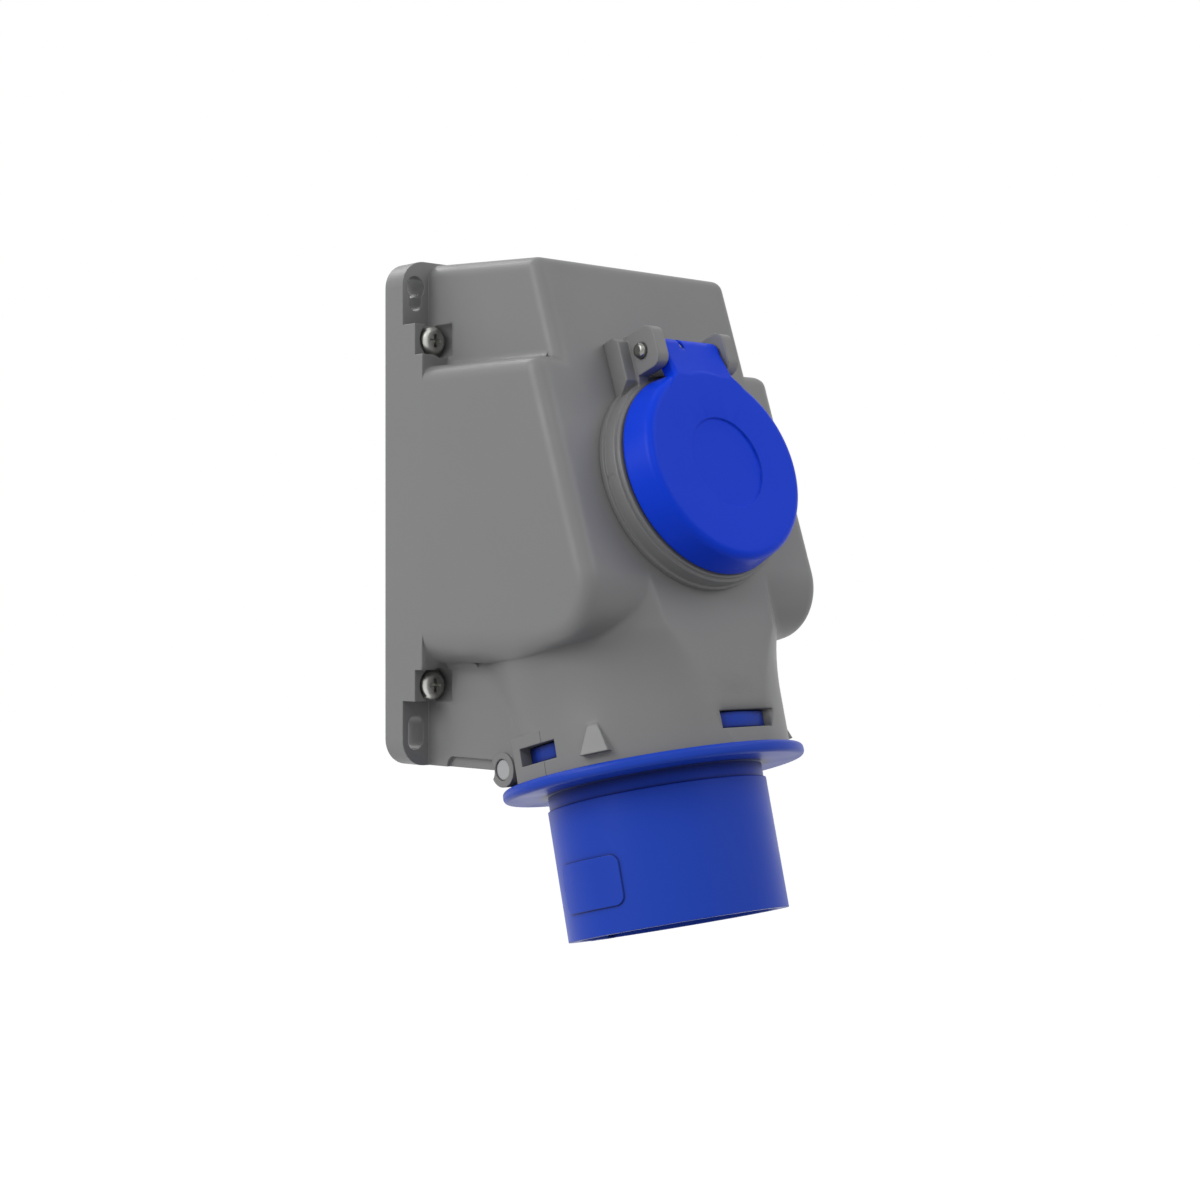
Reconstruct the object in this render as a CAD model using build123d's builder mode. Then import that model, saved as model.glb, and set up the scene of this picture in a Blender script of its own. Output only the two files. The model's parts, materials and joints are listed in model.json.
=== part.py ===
from build123d import *
import math
import os

os.makedirs("parts", exist_ok=True)

# Wall box with an angled pin and sleeve inlet below and a lidded socket outlet in front.
# Millimetres. The wall is the plane y = 0, the front looks along -Y, +Z is up and the
# origin is the middle of the back.

# Housing
case_w = 73.8
case_h = 116.0
case_corner_r = 6.0
wall_t = 3.0
core_w = 59.0
core_edge_r = 3.0
top_depth = 44.5
top_drop = 2.9
face_tilt = 19.0
bulge_draft = 1.15
bulge_edge_r = 3.4
bulge_top_r = 3.6
bulge_low_r = 7.0
valley_r = 1.5
low_valley_end = 25.0
toe_r = 12.0
toe_start = 40.0

# Corner steps, measured in from the top and bottom ends
ear_h = 15.0
ear_depth = 6.7
step_h = 7.2
step_depth = 11.3
shoulder_h = 2.6
shoulder_low_h = 1.5
shoulder_depth = 14.1

# Slots for the wall screws
slot_x = 33.3
slot_end = 3.6
slot_len = 8.0
slot_w = 4.4
keyhole_w = 3.2
keyhole_head_r = 2.5

# Cover screws
screw_x = 31.3
screw_end = 18.6
screw_r = 1.9
screw_gap = 0.25
screw_head_r = 3.4
screw_head_t = 2.4
screw_head_room = 0.8
screw_seat = 9.2
screw_scoop = 15.5
screw_cross_w = 0.9
screw_cross_t = 1.2
screw_depth = 5.2

# Back plate and its seal
rim_t = 1.5
plate_t = 2.5
plate_gap = 0.25
gasket_t = 1.0
gasket_w = 1.3
gasket_gap = 0.4
boss_r = 3.2
boss_h = 3.5
boss_gap = 0.3
rib_t = 1.2
rib_h = 3.0
rib_pitch = 17.0

# Inlet neck
inlet_tilt = 14.0
inlet_out = 50.7
flange_lift = 0.2
neck_r = 31.3
neck_straight = 12.0
neck_flare = 1.7
neck_flare_h = 26.0
neck_top = 50.0
crease_r = 10.0

# Latch windows in the neck
window_low = 3.4
window_h = 4.0
front_window_w = 15.5
front_window_x = 1.05
front_ramp_w = 4.0
side_window_w = 11.4
side_window_back = 1.7
pad_out = 31.4
pad_h = 10.0
pad_w = 9.8

# Marker ribs, retaining pins and the drain recess under the box
marker_angle = 64.0
marker_low = 2.3
marker_high = 8.6
marker_low_w = 6.6
marker_high_w = 2.4
marker_proud = 1.9
pin_boss_r = 3.9
pin_boss_x = 30.2
pin_boss_back = 15.8
pin_boss_up = 4.3
cross_pin_r = 2.4
cross_pin_len = 8.2
cross_pin_sink = 0.3
drain_start = 13.7
drain_len = 18.0
drain_h = 2.5
drain_depth = 1.0

# Inlet body
flange_r = 34.16
flange_t = 2.7
flange_edge_r = 1.1
shroud_r = 24.75
shroud_t = 2.4
shroud_len = 35.2
collar_len = 6.2
collar_inset = 0.5
spigot_gap = 0.3
spigot_t = 3.4
spigot_len = 11.6
carrier_seat = 2.0
hook_proud = 1.5
hook_gap = 0.3
shroud_pad_low = 18.7
shroud_pad_high = 29.5
shroud_pad_angle = 22.0
shroud_pad_proud = 0.35
shroud_pad_r = 2.0
key_w = 6.0
key_proud = 1.8
key_groove_w = 3.2
key_groove_depth = 2.0
seal_groove_up = 9.0
seal_w = 2.0
seal_depth = 1.0
seal_gap = 0.05

# Pins and their carrier
pin_circle_r = 10.75
pin_r = 2.5
earth_pin_r = 3.5
pin_tip_in = 3.0
pin_tip_r = 1.2
pin_root_up = 1.0
pin_root_inset = 0.4
pin_gap = 0.05
carrier_t = 4.0
carrier_gap = 0.2
block_r = 18.6
block_len = 11.0
terminal_r = 4.3
earth_terminal_r = 4.9
terminal_len = 10.0
terminal_gap = 0.2
wire_hole_r = 1.6
wire_hole_depth = 7.0
clamp_screw_r = 1.7
clamp_screw_len = 3.6
clamp_screw_up = 3.2

# Socket outlet
socket_z = 5.6
well_r = 19.9
well_t = 1.3
well_depth = 17.5
floor_t = 3.0
rim_h = 5.4
hole_gap = 0.2
contact_spacing = 19.0
plug_hole_r = 2.6
contact_block_r = 17.0
contact_block_len = 11.0
mount_ear_w = 52.0
mount_ear_h = 16.0
mount_ear_t = 2.5
chamber_r = 3.9
sleeve_r = 3.6
sleeve_bore_r = 2.45
sleeve_slit = 0.8
contact_end_t = 1.2
barrel_r = 2.6
barrel_len = 6.0
barrel_gap = 0.25
cover_t = 2.0
cover_screw_x = 8.5
cover_screw_y = 10.5
cover_screw_r = 1.2
cover_screw_len = 6.0
clip_w = 6.0
clip_t = 0.8
clip_y = 18.9
clip_bow = 1.5
clip_gap = 0.25
clip_tip_in = 6.4
clip_bow_in = 11.0
crimp_r = 2.2
crimp_len = 6.0
socket_screw_x = 23.15
socket_screw_r = 1.0
socket_screw_len = 8.7
small_head_r = 1.8
small_head_t = 1.4
small_gap = 0.1

# Hinged lid and the frame it closes on
frame_foot_r = 24.9
frame_foot_h = 1.3
frame_r = 24.4
frame_step_r = 23.7
frame_step_h = 4.5
hinge_y = 27.6
hinge_h = 8.0
pin_d = 3.5
hinge_gap = 0.05
ear_in = 9.2
ear_w = 3.0
ear_r = 4.8
ear_corner_r = 2.6
ear_foot_w = 3.0
ear_foot_h = 4.6
ear_foot = 19.0
saddle_t = 2.0
pin_proud = 1.3
pin_dome_r = 0.9
lid_gap = 0.7
lid_h = 7.4
lid_r = 23.2
lid_front_r = 22.0
lid_edge_r = 2.0
lid_wall = 2.0
lid_disc_r = 10.4
lid_disc_depth = 0.5
lid_hollow_r = 18.8
arm_root_w = 17.8
arm_top_w = 17.4
arm_top = 29.4
arm_tilt = 16.0
arm_t = 3.2
arm_neck_r = 3.0
arm_edge_r = 0.9
knuckle_r = 3.2
knuckle_w = 17.4
spring_room = 7.2
spring_room_r = 2.6
lid_seal_r = 21.2
lid_seal_w = 2.1
lid_seal_t = 1.9
lid_seal_proud = 0.4
lid_seal_gap = 0.1
spring_coil_r = 2.15
spring_wire_r = 0.25
spring_turns = 5
spring_pitch = 1.05
spring_leg = 6.7
spring_hook = 0.8

# Inner leads
wire_r = 1.4
wire_seat = 4.5
wire_rise = 10.0
wire_back = 16.5
wire_drop = 11.8
wire_slant = 4.0
wire_bend = 0.45

# Worked out from the sizes above
half_h = case_h / 2
ear_z = half_h - ear_h
step_z = ear_z - step_h
ledge_z = step_z - shoulder_h
low_ledge_z = step_z - shoulder_low_h
screw_z = half_h - screw_end
slot_z = half_h - slot_end - slot_len / 2
face_top_z = half_h - top_drop
tan_face = math.tan(math.radians(face_tilt))
sin_face = math.sin(math.radians(face_tilt))
cos_face = math.cos(math.radians(face_tilt))
tan_inlet = math.tan(math.radians(inlet_tilt))
sin_inlet = math.sin(math.radians(inlet_tilt))
cos_inlet = math.cos(math.radians(inlet_tilt))
tan_draft = math.tan(math.radians(bulge_draft))
beyond = 2 * case_h


def face_y(z):
    """Front face of the box at height z."""
    return -(top_depth + (face_top_z - z) * tan_face)


# Inlet frame: local z runs out of the neck, local y to the front, origin in the flange seat
inlet_origin = (0, -inlet_out, flange_lift - half_h)
inlet_out_dir = (0, -sin_inlet, -cos_inlet)
inlet_plane = Plane(origin=inlet_origin, x_dir=(1, 0, 0), z_dir=inlet_out_dir)
inlet_section = Plane(origin=inlet_origin, x_dir=(1, 0, 0), z_dir=(0, cos_inlet, -sin_inlet))
inlet_axis = Axis(inlet_origin, inlet_out_dir)

# Socket frame: local z runs out of the sloping face, local y up it, origin in the face
socket_origin = (0, face_y(socket_z), socket_z)
socket_out_dir = (0, -cos_face, sin_face)
socket_plane = Plane(origin=socket_origin, x_dir=(1, 0, 0), z_dir=socket_out_dir)
socket_section = Plane(origin=socket_origin, x_dir=(1, 0, 0), z_dir=(0, -sin_face, -cos_face))
socket_side = Plane(origin=socket_origin, x_dir=(0, sin_face, cos_face), z_dir=(1, 0, 0))
socket_axis = Axis(socket_origin, socket_out_dir)


def turned_inlet(angle):
    """Inlet plane turned about its own axis, its local y from the front towards +X."""
    return Plane(inlet_plane.location * Rotation(0, 0, -angle))


def neck_form(inset):
    """Neck that carries the inlet, drawn in by inset, its front cut by the sloping face."""
    start = 1.0 if inset else 0.0
    low_r = neck_r - inset
    high_r = low_r + neck_flare
    with BuildPart() as form:
        with BuildSketch(inlet_section):
            with BuildLine():
                Polyline((0, -neck_top), (0, start), (low_r, start), (low_r, -neck_straight))
                TangentArc((low_r, -neck_straight), (high_r, -neck_flare_h), tangent=(0, -1))
                Polyline((high_r, -neck_flare_h), (high_r, -neck_top), (0, -neck_top))
            make_face()
        revolve(axis=inlet_axis)
        split(bisect_by=socket_plane.offset(-inset), keep=Keep.BOTTOM)
    return form.part


def core_form(inset):
    """Narrow middle of the box from end to end."""
    rear = inset + 1.0 if inset else 0.0
    middle = -5.0
    neck_back = (-inlet_out + neck_top * sin_inlet, inlet_origin[2] + neck_top * cos_inlet)
    with BuildPart() as upper:
        with BuildSketch(Plane.YZ):
            with BuildLine():
                Polyline(
                    (rear, middle - inset),
                    (rear, half_h + top_drop / top_depth * rear),
                    (-top_depth, face_top_z),
                    (face_y(middle - inset), middle - inset),
                    close=True,
                )
            make_face()
            if inset:
                offset(amount=-inset, kind=Kind.INTERSECTION)
        extrude(amount=core_w / 2 - inset, both=True)
        if not inset:
            front = upper.faces().sort_by(Axis.Y)[0]
            top = upper.faces().sort_by(Axis.Z)[-1]
            edges = front.edges().filter_by(Axis.X, reverse=True)
            edges += top.edges().filter_by(Axis.X, reverse=True)
            edges += front.edges().filter_by(Axis.X).sort_by(Axis.Z)[-1:]
            fillet(edges, core_edge_r)
    with BuildPart() as form:
        with BuildSketch(Plane.YZ):
            with BuildLine():
                Polyline(
                    (rear, inset - half_h),
                    (rear, middle),
                    neck_back,
                    (-inlet_out, inlet_origin[2] + inset),
                    close=True,
                )
            make_face()
        extrude(amount=core_w / 2 - inset, both=True)
        add(neck_form(inset))
        if not inset:
            crease = [
                edge
                for edge in form.edges()
                if abs(abs(edge.center().X) - core_w / 2) < 0.05
                and edge.center().Y < -toe_start / 2
                and abs(edge.tangent_at(0.5).Z) > 0.5
                and edge.center().Z < middle
            ]
            fillet(crease, crease_r)
        add(upper.part)
    return form.part


def bulge_form(inset):
    """Wide middle of the box between the ledges, with its rounded toe over the neck."""
    rear = inset + 1.0 if inset else 0.0
    toe_z = (toe_start - shoulder_depth) * tan_draft - low_ledge_z
    corner_z = (toe_z + tan_inlet * (top_depth + face_top_z * tan_face - toe_start)) / (
        1 + tan_inlet * tan_face
    )
    corner_y = face_y(corner_z)
    with BuildPart() as form:
        with BuildSketch(Plane.XZ.offset(shoulder_depth)) as outline:
            with Locations((0, (ledge_z - low_ledge_z) / 2)):
                Rectangle(case_w - 2 * inset, ledge_z + low_ledge_z - 2 * inset)
            fillet(outline.vertices().group_by(Axis.Y)[-1], bulge_top_r)
            fillet(outline.vertices().group_by(Axis.Y)[0], bulge_low_r - inset)
        extrude(amount=beyond, taper=bulge_draft)
        extrude(outline.sketch, amount=-shoulder_depth - rear)
        with BuildSketch(Plane.YZ) as side:
            with BuildLine():
                Polyline(
                    (rear + inset, -half_h),
                    (rear + inset, half_h),
                    (face_y(half_h), half_h),
                    (corner_y, corner_z),
                    (-toe_start, toe_z),
                    (-toe_start, -half_h),
                    close=True,
                )
            make_face()
            if inset:
                offset(amount=-inset, kind=Kind.INTERSECTION)
            toe = side.vertices().sort_by_distance((corner_y, corner_z, 0))[0]
            fillet(toe, toe_r - inset)
        extrude(amount=case_w, both=True, mode=Mode.INTERSECT)
        if not inset:
            front = form.faces().filter_by(lambda f: f.normal_at().dot(Vector(socket_out_dir)) > 0.99)
            fillet(front.edges().filter_by(lambda e: e.center().Z > toe_z), bulge_edge_r)
    return form.part


def plate_outline(gap):
    """Outline of the back plate's seat, drawn in by gap."""
    Rectangle(case_w - 2 * (rim_t + gap), 2 * (ear_z - gap))
    Rectangle(core_w - 2 * (rim_t + gap), case_h - 2 * (rim_t + gap))


corners = [(x, z) for x in (-screw_x, screw_x) for z in (-screw_z, screw_z)]
plate_seat = plate_t + gasket_t
# local x to the rear, local y up the neck
neck_side = Plane(origin=inlet_origin, x_dir=(0, cos_inlet, -sin_inlet), z_dir=(1, 0, 0))
bore_r = neck_r - wall_t
spigot_r = bore_r - spigot_gap
hole_r = well_r + well_t + hole_gap

# Housing: one moulding with neck, corner steps, slots and windows
with BuildPart() as housing:
    add(core_form(0))
    add(bulge_form(0))
    # coves in the valleys between the ledges and the narrow middle
    for top, z, run, rise in (
        (1, ledge_z, -face_y(ledge_z) - core_edge_r, -tan_draft),
        (-1, -low_ledge_z, low_valley_end, tan_draft),
    ):
        with BuildSketch(Plane.XZ.offset(shoulder_depth)):
            for side in (-1, 1):
                x = side * core_w / 2
                with Locations((x + side * valley_r / 2, z + top * valley_r / 2)):
                    Rectangle(valley_r + 1, valley_r + 1)
                with Locations((x + side * valley_r, z + top * valley_r)):
                    Circle(valley_r, mode=Mode.SUBTRACT)
                with Locations((x + side * (valley_r + 0.5), z + top * valley_r / 2)):
                    Rectangle(1, valley_r + 1, mode=Mode.SUBTRACT)
                with Locations((x + side * valley_r / 2, z + top * (valley_r + 0.5))):
                    Rectangle(valley_r + 1, 1, mode=Mode.SUBTRACT)
        extrude(amount=run - shoulder_depth, dir=(0, -1, rise))
    with BuildSketch(Plane.XZ):
        RectangleRounded(case_w, case_h, case_corner_r)
    extrude(amount=ear_depth)
    with BuildSketch(Plane.XZ):
        Rectangle(case_w, 2 * ear_z)
    extrude(amount=step_depth)
    with BuildSketch(Plane.XZ):
        Rectangle(case_w, 2 * step_z)
    extrude(amount=shoulder_depth)
    # flat pads round the side windows and bosses for the retaining pins
    for side in (-1, 1):
        with BuildSketch(neck_side.offset(side * (bore_r - 2))):
            with Locations((pad_w / 2, pad_h / 2)):
                Rectangle(pad_w, pad_h)
        extrude(amount=side * (pad_out - bore_r + 2))
        with BuildSketch(neck_side.offset(side * (bore_r - 6))):
            with Locations((pin_boss_back, pin_boss_up)):
                Circle(pin_boss_r)
        extrude(amount=side * (pin_boss_x - bore_r + 6))
        # marker ribs, flush at the top and proud at the foot
        turned = turned_inlet(side * marker_angle)
        with BuildSketch(turned.offset(-marker_low)):
            with Locations((0, neck_r - 1 + (marker_proud + 1) / 2)):
                Rectangle(marker_low_w, marker_proud + 1)
        with BuildSketch(turned.offset(-marker_high)):
            with Locations((0, neck_r - 1 + 0.6)):
                Rectangle(marker_high_w, 1.2)
        loft()
    # hollow inside
    add(core_form(wall_t), mode=Mode.SUBTRACT)
    add(bulge_form(wall_t), mode=Mode.SUBTRACT)
    with BuildSketch(inlet_plane):
        Circle(bore_r)
    extrude(amount=-neck_straight, mode=Mode.SUBTRACT)
    with BuildSketch(Plane.XZ):
        plate_outline(0)
    extrude(amount=plate_seat, mode=Mode.SUBTRACT)
    with BuildSketch(Plane.XZ):
        with Locations(*corners):
            Circle(boss_r + boss_gap)
    extrude(amount=plate_t + boss_h + screw_gap, mode=Mode.SUBTRACT)
    # screw holes and head pockets
    with BuildSketch(Plane.XZ):
        with Locations(*corners):
            Circle(screw_r + screw_gap)
    extrude(amount=step_depth, mode=Mode.SUBTRACT)
    with BuildSketch(Plane.XZ.offset(screw_seat)):
        with Locations(*corners):
            Circle(screw_head_r + screw_head_room)
    extrude(amount=screw_scoop - screw_seat, mode=Mode.SUBTRACT)
    # keyholes in the upper ears and slots in the lower ears
    with BuildSketch(Plane.XZ):
        with Locations((-slot_x, -slot_z), (slot_x, -slot_z)):
            SlotOverall(slot_len, slot_w, rotation=90)
        with Locations((-slot_x, slot_z), (slot_x, slot_z)):
            SlotOverall(slot_len, keyhole_w, rotation=90)
        with Locations(
            (-slot_x, half_h - slot_end - keyhole_head_r), (slot_x, half_h - slot_end - keyhole_head_r)
        ):
            Circle(keyhole_head_r)
    extrude(amount=ear_depth, mode=Mode.SUBTRACT)
    # hole for the socket and its fixing screws
    with BuildSketch(socket_plane.offset(1)):
        Circle(hole_r)
        with Locations((-socket_screw_x, 0), (socket_screw_x, 0)):
            Circle(socket_screw_r + small_gap)
    extrude(amount=-wall_t - 2, mode=Mode.SUBTRACT)
    # latch windows and the cross holes for the retaining pins
    window_mid = window_low + window_h / 2
    with BuildSketch(inlet_plane.offset(-window_low)):
        with Locations((front_window_x, neck_r)):
            Rectangle(front_window_w, neck_r)
    extrude(amount=-window_h, mode=Mode.SUBTRACT)
    with BuildSketch(neck_side):
        with Locations((side_window_back, window_mid)):
            Rectangle(side_window_w, window_h)
        with Locations((pin_boss_back, pin_boss_up)):
            Circle(cross_pin_r + pin_gap)
    extrude(amount=pad_out + 1, both=True, mode=Mode.SUBTRACT)
    # ramp beside the front window
    ramp_x = front_window_x + front_window_w / 2
    with BuildSketch(inlet_plane.offset(-window_low - window_h)):
        with BuildLine():
            Polyline(
                (ramp_x - 1, bore_r - 1),
                (ramp_x, bore_r - 1),
                (ramp_x + front_ramp_w, neck_r),
                (ramp_x - 1, neck_r + 1),
                close=True,
            )
        make_face()
    with BuildSketch(inlet_plane.offset(-window_low)):
        with BuildLine():
            Polyline(
                (ramp_x - 1, bore_r - 1),
                (ramp_x, bore_r - 1),
                (ramp_x + 0.4, neck_r),
                (ramp_x - 1, neck_r + 1),
                close=True,
            )
        make_face()
    loft(mode=Mode.SUBTRACT)
    # drain recesses in the bottom side edges
    with BuildSketch(Plane.YZ):
        with Locations((-drain_start - drain_len / 2, -half_h)):
            RectangleRounded(drain_len, 2 * drain_h, drain_h * 0.9)
    drain = extrude(amount=core_w / 2 + 1, both=True, mode=Mode.PRIVATE)
    with BuildSketch(Plane.YZ):
        with Locations((-drain_start - drain_len / 2, -half_h)):
            Rectangle(drain_len + 2, 2 * drain_h + 2)
    keep = extrude(amount=core_w / 2 - drain_depth, both=True, mode=Mode.PRIVATE)
    add(drain - keep, mode=Mode.SUBTRACT)
housing.part.label = "housing"
export_step(housing.part, "parts/housing.step")


# Back plate that closes the box against the wall
boss_top = plate_t + boss_h
rib_x = core_w / 2 - wall_t - rib_t
rib_z = half_h - wall_t - 2 * rib_t
with BuildPart() as back_plate:
    with BuildSketch(Plane.XZ):
        plate_outline(plate_gap)
    extrude(amount=plate_t)
    with BuildSketch(Plane.XZ.offset(plate_t)):
        with GridLocations(rib_pitch, 0, int(2 * rib_x // rib_pitch), 1):
            Rectangle(rib_t, 2 * rib_z)
        with GridLocations(0, rib_pitch, 1, int(2 * rib_z // rib_pitch)):
            Rectangle(2 * rib_x, rib_t)
    extrude(amount=rib_h)
    with BuildSketch(Plane.XZ.offset(plate_t)):
        with Locations(*corners):
            Circle(boss_r)
    extrude(amount=boss_h)
    with BuildSketch(Plane.XZ.offset(boss_top)):
        with Locations(*corners):
            Circle(screw_r + pin_gap)
    extrude(amount=-screw_depth - screw_gap, mode=Mode.SUBTRACT)
back_plate.part.label = "back_plate"
export_step(back_plate.part, "parts/back_plate.step")

# Seal between the back plate and the housing
with BuildPart() as back_gasket:
    with BuildSketch(Plane.XZ.offset(plate_t)):
        Rectangle(case_w - 2 * (rim_t + plate_gap), 2 * (screw_z - boss_r - boss_gap - gasket_gap))
        Rectangle(core_w - 2 * (rim_t + plate_gap), case_h - 2 * (rim_t + plate_gap))
        offset(amount=-gasket_w, kind=Kind.INTERSECTION, mode=Mode.SUBTRACT)
    extrude(amount=gasket_t)
back_gasket.part.label = "back_gasket"
export_step(back_gasket.part, "parts/back_gasket.step")

# Four screws that hold the housing on the back plate
with BuildPart() as housing_screws:
    with BuildSketch(Plane.XZ.offset(screw_seat)):
        with Locations(*corners):
            Circle(screw_head_r)
    extrude(amount=screw_head_t)
    rims = housing_screws.edges().filter_by(GeomType.CIRCLE).group_by(Axis.Y)[0]
    fillet(rims, screw_head_t / 4)
    with BuildSketch(Plane.XZ.offset(screw_seat + screw_head_t)):
        with Locations(*corners):
            Rectangle(screw_cross_w, 1.3 * screw_head_r)
            Rectangle(1.3 * screw_head_r, screw_cross_w)
    extrude(amount=-screw_cross_t, mode=Mode.SUBTRACT)
    with BuildSketch(Plane.XZ.offset(boss_top - screw_depth)):
        with Locations(*corners):
            Circle(screw_r)
    extrude(amount=screw_seat - boss_top + screw_depth)
housing_screws.part.label = "housing_screws"
export_step(housing_screws.part, "parts/housing_screws.step")

# Raised side patches of the inlet shroud
shroud_in = shroud_r - shroud_t
spigot_in = spigot_r - spigot_t
hook_r = spigot_r + hook_proud
patch_w = 2 * shroud_r * math.sin(math.radians(shroud_pad_angle))
with BuildPart() as shroud_patches:
    with BuildSketch(neck_side):
        with Locations((0, -(shroud_pad_low + shroud_pad_high) / 2)):
            RectangleRounded(patch_w, shroud_pad_high - shroud_pad_low, shroud_pad_r)
    extrude(amount=flange_r, both=True)
    with BuildSketch(inlet_plane):
        Circle(shroud_r + shroud_pad_proud)
        Circle(shroud_r - shroud_t / 4, mode=Mode.SUBTRACT)
    extrude(amount=shroud_len, mode=Mode.INTERSECT)

# Inlet body: shroud, flange, spigot with its latch hooks and the key
with BuildPart() as inlet_body:
    with BuildSketch(inlet_section):
        with BuildLine():
            Polyline(
                (shroud_in, shroud_len),
                (shroud_r, shroud_len),
                (shroud_r, collar_len),
                (shroud_r - collar_inset, collar_len),
                (shroud_r - collar_inset, flange_t),
                (flange_r, flange_t),
                (flange_r, 0),
                (spigot_r, 0),
                (spigot_r, -spigot_len),
                (spigot_in, -spigot_len),
                (spigot_in, -carrier_seat),
                (shroud_in, -carrier_seat),
                close=True,
            )
        make_face()
    revolve(axis=inlet_axis)
    rim = inlet_body.edges().filter_by(lambda e: e.geom_type == GeomType.CIRCLE and e.radius > flange_r - 0.1)
    fillet(rim, flange_edge_r)
    add(shroud_patches.part)
    with BuildSketch(inlet_plane.offset(collar_len)):
        with Locations((0, -shroud_r)):
            Rectangle(key_w, 2 * key_proud)
    extrude(amount=shroud_len - collar_len)
    with BuildSketch(inlet_plane.offset(shroud_len)):
        with Locations((0, -shroud_in)):
            Rectangle(key_groove_w, 2 * key_groove_depth)
    extrude(amount=-shroud_len, mode=Mode.SUBTRACT)
    with BuildSketch(inlet_plane.offset(-window_low - hook_gap)):
        with Locations((front_window_x, hook_r)):
            Rectangle(front_window_w - 2 * hook_gap, hook_r)
        with Locations((-hook_r, -side_window_back), (hook_r, -side_window_back)):
            Rectangle(hook_r, side_window_w - 2 * hook_gap)
        Circle(hook_r, mode=Mode.INTERSECT)
        Circle(spigot_r - 1, mode=Mode.SUBTRACT)
    extrude(amount=2 * hook_gap - window_h)
    with BuildSketch(inlet_plane.offset(-seal_groove_up)):
        Circle(spigot_r + 1)
        Circle(spigot_r - seal_depth, mode=Mode.SUBTRACT)
    extrude(amount=-seal_w, mode=Mode.SUBTRACT)
    for side in (-1, 1):
        with BuildSketch(neck_side.offset(side * pin_boss_x)):
            with Locations((pin_boss_back, pin_boss_up)):
                Circle(cross_pin_r + pin_gap)
        extrude(amount=-side * (cross_pin_len + cross_pin_sink), mode=Mode.SUBTRACT)
inlet_body.part.label = "inlet_body"
export_step(inlet_body.part, "parts/inlet_body.step")

# Ring seal round the spigot
with BuildPart() as inlet_seal:
    with BuildSketch(inlet_plane.offset(-seal_groove_up - seal_gap)):
        Circle(bore_r - seal_gap)
        Circle(spigot_r - seal_depth, mode=Mode.SUBTRACT)
    extrude(amount=2 * seal_gap - seal_w)
inlet_seal.part.label = "inlet_seal"
export_step(inlet_seal.part, "parts/inlet_seal.step")

# Cross pins that lock the inlet body in the neck
with BuildPart() as retaining_pins:
    for side in (-1, 1):
        with BuildSketch(neck_side.offset(side * (pin_boss_x - cross_pin_sink))):
            with Locations((pin_boss_back, pin_boss_up)):
                Circle(cross_pin_r)
        extrude(amount=-side * cross_pin_len)
    ends = retaining_pins.edges().filter_by(GeomType.CIRCLE)
    chamfer(ends, cross_pin_r / 8)
retaining_pins.part.label = "retaining_pins"
export_step(retaining_pins.part, "parts/retaining_pins.step")

# Contact pins in their carrier; the earth pin stands by the key
carrier_back = carrier_seat + carrier_t
terminal_top = carrier_back + terminal_gap + terminal_len
line_plane = turned_inlet(-60)
neutral_plane = turned_inlet(60)
earth_plane = turned_inlet(180)
pin_sets = (
    (line_plane, pin_r, terminal_r),
    (neutral_plane, pin_r, terminal_r),
    (earth_plane, earth_pin_r, earth_terminal_r),
)


def radial_plane(base, out):
    """Plane square to the line from the inlet axis through a pin, out from the flange seat."""
    return Plane(origin=base.from_local_coords((0, 0, out)), x_dir=base.x_dir, z_dir=base.y_dir)


with BuildPart() as pin_carrier:
    with BuildSketch(inlet_plane.offset(-carrier_seat)):
        Circle(spigot_in - carrier_gap)
    extrude(amount=-carrier_t)
    with BuildSketch(inlet_plane.offset(-carrier_back)):
        Circle(block_r)
    extrude(amount=-block_len)
    for base, radius, barrel in pin_sets:
        with BuildSketch(base.offset(-carrier_seat)):
            with Locations((0, pin_circle_r)):
                Circle(radius - pin_root_inset + pin_gap)
        extrude(amount=-carrier_t, mode=Mode.SUBTRACT)
        with BuildSketch(base.offset(-carrier_back)):
            with Locations((0, pin_circle_r)):
                Circle(barrel + terminal_gap)
        extrude(amount=-block_len, mode=Mode.SUBTRACT)
        with BuildSketch(radial_plane(base, clamp_screw_up - terminal_top).offset(pin_circle_r)):
            Circle(clamp_screw_r + terminal_gap)
        extrude(amount=block_r, mode=Mode.SUBTRACT)
pin_carrier.part.label = "pin_carrier"
export_step(pin_carrier.part, "parts/pin_carrier.step")


def contact_pin(base, radius, barrel):
    """Pin with a rounded tip, a thinner root in the carrier and a screw terminal behind it."""
    with BuildPart() as pin:
        with BuildSketch(base.offset(shroud_len - pin_tip_in)):
            with Locations((0, pin_circle_r)):
                Circle(radius)
        extrude(amount=pin_root_up - carrier_seat + pin_tip_in - shroud_len)
        fillet(pin.edges().filter_by(GeomType.CIRCLE).sort_by(Axis.Z)[0], pin_tip_r)
        with BuildSketch(base.offset(pin_root_up - carrier_seat)):
            with Locations((0, pin_circle_r)):
                Circle(radius - pin_root_inset)
        extrude(amount=-pin_root_up - carrier_t - terminal_gap)
        with BuildSketch(base.offset(-carrier_back - terminal_gap)):
            with Locations((0, pin_circle_r)):
                Circle(barrel)
        extrude(amount=-terminal_len)
        with BuildSketch(base.offset(-terminal_top)):
            with Locations((0, pin_circle_r)):
                Circle(wire_hole_r)
        extrude(amount=wire_hole_depth, mode=Mode.SUBTRACT)
        with BuildSketch(radial_plane(base, clamp_screw_up - terminal_top).offset(pin_circle_r)):
            Circle(clamp_screw_r + pin_gap)
        extrude(amount=block_r, mode=Mode.SUBTRACT)
    return pin.part


with BuildPart() as pin_line:
    add(contact_pin(*pin_sets[0]))
pin_line.part.label = "pin_line"
export_step(pin_line.part, "parts/pin_line.step")

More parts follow.
